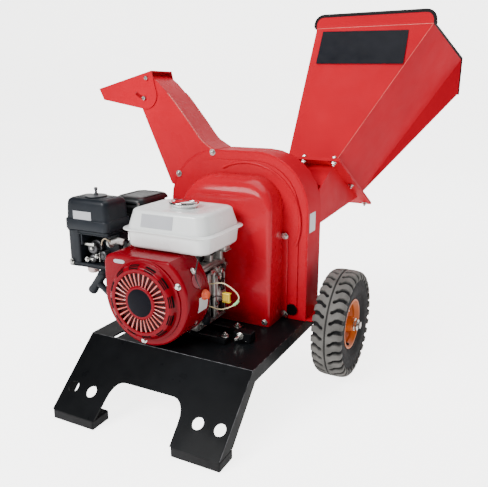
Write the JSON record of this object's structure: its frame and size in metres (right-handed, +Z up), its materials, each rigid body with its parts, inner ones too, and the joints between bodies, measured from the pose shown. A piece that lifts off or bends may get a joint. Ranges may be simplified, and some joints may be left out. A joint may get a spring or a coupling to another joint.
{
  "type": "wood chipper",
  "caption": "Wheeled petrol wood chipper: sheet steel stand, belt driven disc rotor in an arched casing, angled feed hopper and discharge chute with a tilting deflector.",
  "frame": {"origin": "centre of the footprint on the floor", "axes": "+Z up, -Y to the front feet and the recoil starter, +Y to the hopper mouth, -X to the discharge chute"},
  "size_m": [0.9004, 1.2456, 0.9868],
  "materials": {
    "black_paint": "semi-gloss",
    "red_paint": "gloss",
    "red_engine": "gloss",
    "white_paint": "gloss",
    "black_plastic": "satin",
    "red_plastic": "satin",
    "rubber": "matte",
    "tyre_rubber": "matte",
    "orange_paint": "gloss",
    "bright_steel": "zinc plated",
    "chrome": "polished",
    "cast_alloy": "cast",
    "dark_steel": "oiled",
    "wire_yellow": "gloss",
    "wire_black": "gloss"
  },
  "bodies": {
    "chassis": {"base_frame": "black_paint", "foot_left": "rubber", "foot_right": "rubber", "axle": "bright_steel", "axle_nut_left": "bright_steel", "axle_nut_right": "bright_steel", "rotor_casing": "red_paint", "casing_front": "red_paint", "bed_knife": "bright_steel", "bearing_front": "cast_alloy", "bearing_rear": "cast_alloy", "belt_cover": "red_paint", "belt_1": "rubber", "belt_2": "rubber", "crankcase": "cast_alloy", "cylinder": "cast_alloy", "head_cover": "red_engine", "spark_plug": "black_plastic", "fan_shroud": "red_engine", "recoil_cover": "red_engine", "fuel_tank": "white_paint", "tank_bracket": "dark_steel", "air_cleaner_case": "black_plastic", "carburettor": "cast_alloy", "muffler": "black_paint", "control_base": "dark_steel", "sensor_wire": "wire_yellow", "switch_wire": "wire_black", "rail_front": "black_paint", "rail_rear": "black_paint", "tension_bracket": "black_paint", "discharge_chute": "red_paint", "pivot_bolt": "bright_steel", "clamp_bolt": "bright_steel", "feed_neck": "red_paint", "hopper": "red_paint", "hopper_trim": "rubber"},
    "wheel_left": {"rim_left": "orange_paint", "tyre_left": "tyre_rubber"},
    "wheel_right": {"rim_right": "orange_paint", "tyre_right": "tyre_rubber"},
    "rotor": {"rotor_shaft": "bright_steel", "rotor_disc": "dark_steel", "knife_1": "bright_steel", "knife_2": "bright_steel", "rotor_pulley": "dark_steel"},
    "crank": {"crankshaft": "bright_steel", "flywheel": "cast_alloy", "engine_pulley": "dark_steel"},
    "deflector": {"deflector": "red_paint"},
    "starter_handle": {"starter_handle": "black_plastic"},
    "fuel_cap": {"fuel_cap": "chrome"},
    "air_cleaner_cover": {"air_cleaner_cover": "black_plastic"},
    "air_cleaner_knob": {"air_cleaner_knob": "bright_steel"},
    "choke_lever": {"choke_lever": "black_plastic"},
    "fuel_lever": {"fuel_lever": "black_plastic"},
    "throttle_lever": {"throttle_lever": "black_plastic"},
    "engine_switch": {"engine_switch": "red_plastic"},
    "oil_dipstick": {"oil_dipstick": "black_plastic"}
  },
  "joints": [
    {"name": "wheel_left_spin", "type": "hinge", "parent": "chassis", "child": "wheel_left", "pos_m": [-0.33216, -0.07585, 0.1475], "axis": [1, 0, 0], "continuous": true},
    {"name": "wheel_right_spin", "type": "hinge", "parent": "chassis", "child": "wheel_right", "pos_m": [0.28584, -0.07585, 0.1475], "axis": [1, 0, 0], "continuous": true},
    {"name": "rotor_spin", "type": "hinge", "parent": "chassis", "child": "rotor", "pos_m": [0.00383, -0.08085, 0.404], "axis": [0, 1, 0], "continuous": true},
    {"name": "crank_spin", "type": "hinge", "parent": "chassis", "child": "crank", "pos_m": [-0.07316, -0.45885, 0.2846], "axis": [0, 1, 0], "continuous": true},
    {"name": "deflector_tilt", "type": "hinge", "parent": "chassis", "child": "deflector", "pos_m": [-0.28016, -0.10585, 0.797], "axis": [0, 1, 0], "range_deg": [-28, 3]},
    {"name": "starter_pull", "type": "slide", "parent": "chassis", "child": "starter_handle", "axis": [-0.8, 0, 0.6], "range_m": [0, 0.5]},
    {"name": "fuel_cap_lift", "type": "slide", "parent": "chassis", "child": "fuel_cap", "axis": [0, 0, 1], "range_m": [0, 0.06]},
    {"name": "air_cleaner_cover_lift", "type": "slide", "parent": "chassis", "child": "air_cleaner_cover", "axis": [0, 0, 1], "range_m": [0, 0.12]},
    {"name": "air_cleaner_knob_turn", "type": "hinge", "parent": "air_cleaner_cover", "child": "air_cleaner_knob", "pos_m": [-0.28066, -0.38985, 0.5033], "axis": [0, 0, 1], "continuous": true},
    {"name": "choke_lever_turn", "type": "hinge", "parent": "chassis", "child": "choke_lever", "pos_m": [-0.20086, -0.38015, 0.3606], "axis": [0, 1, 0], "range_deg": [0, 60]},
    {"name": "fuel_lever_turn", "type": "hinge", "parent": "chassis", "child": "fuel_lever", "pos_m": [-0.20086, -0.38015, 0.3426], "axis": [0, 1, 0], "range_deg": [-60, 0]},
    {"name": "throttle_lever_turn", "type": "hinge", "parent": "chassis", "child": "throttle_lever", "pos_m": [-0.03317, -0.27155, 0.3522], "axis": [0, 0, 1], "range_deg": [0, 25]},
    {"name": "engine_switch_turn", "type": "hinge", "parent": "chassis", "child": "engine_switch", "pos_m": [0.04714, -0.40885, 0.2966], "axis": [1, 0, 0], "range_deg": [0, 60]},
    {"name": "oil_dipstick_pull", "type": "slide", "parent": "chassis", "child": "oil_dipstick", "axis": [1, 0, 0], "range_m": [0, 0.07]}
  ],
  "couplings": [
    {"joint": "crank_spin", "follows": "rotor_spin", "ratio": 1.706}
  ]
}
